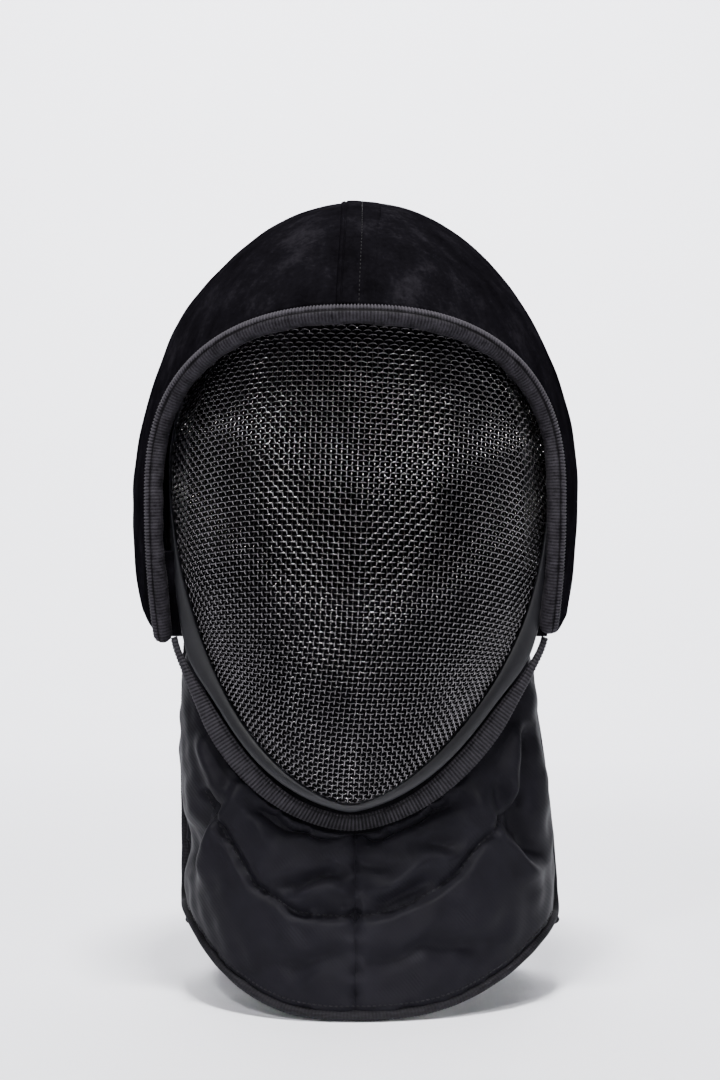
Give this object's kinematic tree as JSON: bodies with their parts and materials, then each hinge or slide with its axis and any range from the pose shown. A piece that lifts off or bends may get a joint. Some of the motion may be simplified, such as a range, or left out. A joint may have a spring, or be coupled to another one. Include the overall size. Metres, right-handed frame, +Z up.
{
  "type": "fencing mask",
  "caption": "Fencing mask with a bulged woven-wire face, a suede hood over the head and a quilted bib round the neck, standing on its hems.",
  "frame": {"origin": "on the ground under the middle of the mask's box, where it stands on the front hem of the bib and the back hem of the flap", "axes": "-Y is where the face looks, +X is the onlooker's right, +Z is up"},
  "size_m": [0.2628, 0.29, 0.4628],
  "materials": {
    "wire": "gloss black woven steel wire",
    "strip": "satin dark grey",
    "suede": "black suede with a short nap and paler scuffs",
    "tape": "ribbed black grosgrain tape",
    "satin": "black twill with a soft satin sheen, quilted"
  },
  "bodies": {
    "root": {"face_mesh": "wire", "frame_rim": "strip", "crown_cage": "wire", "hood_left": "suede", "hood_right": "suede", "hood_trim": "tape", "bib_band": "tape", "bib_left": "satin", "bib_right": "satin", "bib_binding": "tape", "neck_flap": "satin", "flap_binding": "tape"}
  },
  "joints": []
}
